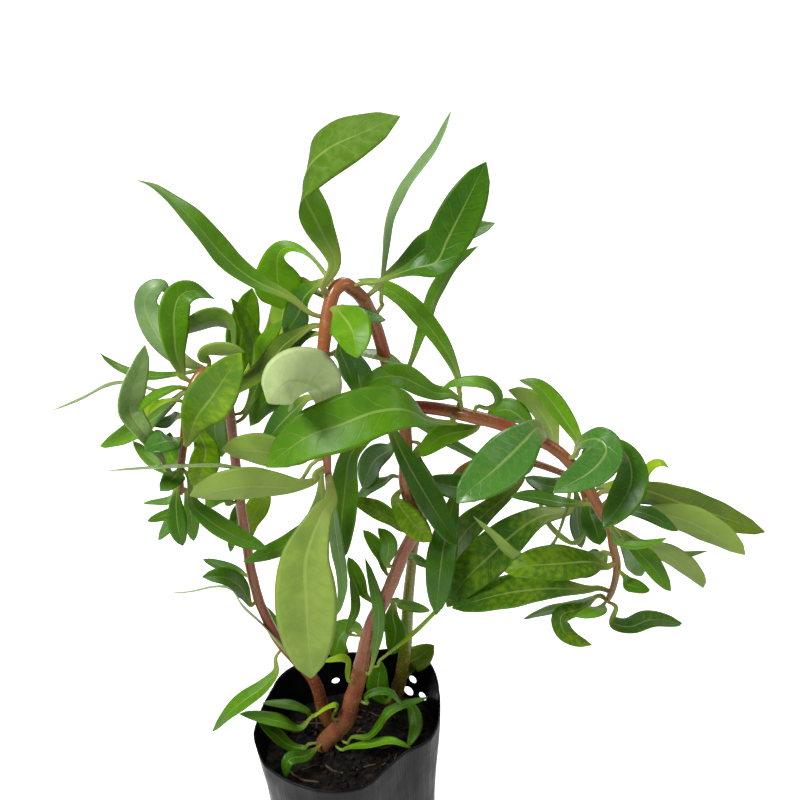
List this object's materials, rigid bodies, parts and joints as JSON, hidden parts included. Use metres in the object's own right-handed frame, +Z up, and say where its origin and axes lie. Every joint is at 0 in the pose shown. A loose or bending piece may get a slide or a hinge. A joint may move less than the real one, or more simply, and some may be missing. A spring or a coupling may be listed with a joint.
{
  "type": "potted aquarium plant",
  "caption": "Narrow-leaved stem plant with arching reddish stems and curled green leaves, rooted in dark soil in a soft round black nursery pot.",
  "frame": {"origin": "middle of the pot's flat underside, where it stands", "axes": "+Z up, +X to the right and -Y towards the viewer of the picture"},
  "size_m": [0.1934, 0.0907, 0.2778],
  "materials": {
    "pot_film": "thin glossy black film, slightly crumpled",
    "soil": "moist, rough and lumpy, dark brown",
    "red_stem": "smooth, wet, reddish brown",
    "green_stem": "smooth, wet, olive green",
    "leaf": "thin, smooth and slightly glossy, green with a pale midrib"
  },
  "bodies": {
    "root": {"pot": "pot_film", "soil": "soil", "main_cane": "red_stem", "main_cane_leaf_01": "leaf", "main_cane_leaf_02": "leaf", "main_cane_leaf_03": "leaf", "main_cane_leaf_04": "leaf", "main_cane_leaf_05": "leaf", "main_cane_leaf_06": "leaf", "main_cane_leaf_07": "leaf", "main_cane_leaf_08": "leaf", "main_cane_leaf_09": "leaf", "main_cane_leaf_10": "leaf", "main_cane_leaf_11": "leaf", "main_cane_leaf_12": "leaf", "main_cane_leaf_13": "leaf", "main_cane_leaf_14": "leaf", "main_cane_leaf_15": "leaf", "main_cane_leaf_16": "leaf", "main_cane_leaf_17": "leaf", "main_cane_leaf_18": "leaf", "main_cane_leaf_19": "leaf", "main_cane_leaf_20": "leaf", "right_shoot": "red_stem", "right_shoot_leaf_01": "leaf", "right_shoot_leaf_02": "leaf", "right_shoot_leaf_03": "leaf", "right_shoot_leaf_04": "leaf", "right_shoot_leaf_05": "leaf", "right_shoot_leaf_06": "leaf", "right_shoot_leaf_07": "leaf", "right_shoot_leaf_08": "leaf", "right_shoot_leaf_09": "leaf", "right_shoot_leaf_10": "leaf", "right_shoot_leaf_11": "leaf", "right_shoot_leaf_12": "leaf", "right_shoot_leaf_13": "leaf", "right_shoot_leaf_14": "leaf", "right_shoot_leaf_15": "leaf", "right_shoot_leaf_16": "leaf", "second_cane": "green_stem", "second_cane_leaf_01": "leaf", "second_cane_leaf_02": "leaf", "second_cane_leaf_03": "leaf", "second_cane_leaf_04": "leaf", "second_cane_leaf_05": "leaf", "second_cane_leaf_06": "leaf", "left_cane": "red_stem", "left_cane_leaf_01": "leaf", "left_cane_leaf_02": "leaf", "left_cane_leaf_03": "leaf", "left_cane_leaf_04": "leaf", "left_cane_leaf_05": "leaf", "left_cane_leaf_06": "leaf", "left_cane_leaf_07": "leaf", "left_cane_leaf_08": "leaf", "left_cane_leaf_09": "leaf", "left_cane_leaf_10": "leaf", "left_cane_leaf_11": "leaf", "left_cane_leaf_12": "leaf"}
  },
  "joints": []
}
